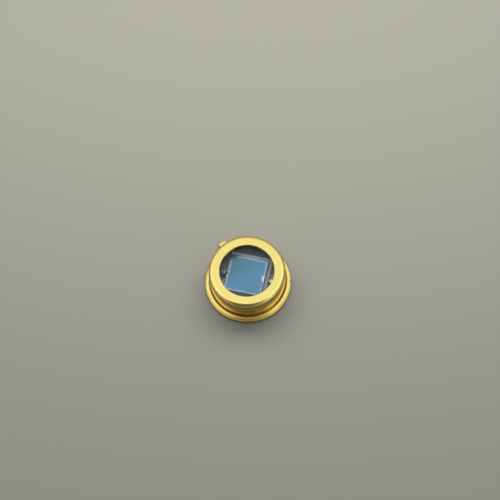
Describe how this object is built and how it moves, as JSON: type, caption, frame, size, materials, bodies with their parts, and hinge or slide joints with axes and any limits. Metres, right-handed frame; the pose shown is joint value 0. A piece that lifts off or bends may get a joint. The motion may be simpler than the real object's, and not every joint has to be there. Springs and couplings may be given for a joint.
{
  "type": "silicon photodiode",
  "caption": "Silicon photodiode in a low gold-plated metal can, with a square chip behind a flat glass window, a flange with an index tab, and insulated leads.",
  "frame": {"origin": "centre of the seating plane, the underside of the header's flange", "axes": "+Z out of the window along the can's axis; X through the two leads, with the anode's lead at -X; the index tab lies between -X and +Y"},
  "size_m": [0.0092, 0.0092, 0.0073],
  "materials": {
    "gold_plate": "satin",
    "window_glass": "polished",
    "solder_glass": "satin",
    "bead_glass": "gloss",
    "alumina": "matte",
    "silver_adhesive": "matte",
    "silicon": "polished",
    "contact_metal": "satin",
    "bond_wire": "satin"
  },
  "bodies": {
    "root": {"header": "gold_plate", "cap": "gold_plate", "window": "window_glass", "window_seal": "solder_glass", "anode_lead": "gold_plate", "cathode_lead": "gold_plate", "anode_bead": "bead_glass", "cathode_bead": "bead_glass", "submount": "alumina", "submount_attach": "silver_adhesive", "die_attach": "silver_adhesive", "silicon_chip": "silicon", "cathode_frame": "contact_metal", "anode_pad": "contact_metal", "anode_wire": "bond_wire", "cathode_wire": "bond_wire"}
  },
  "joints": []
}
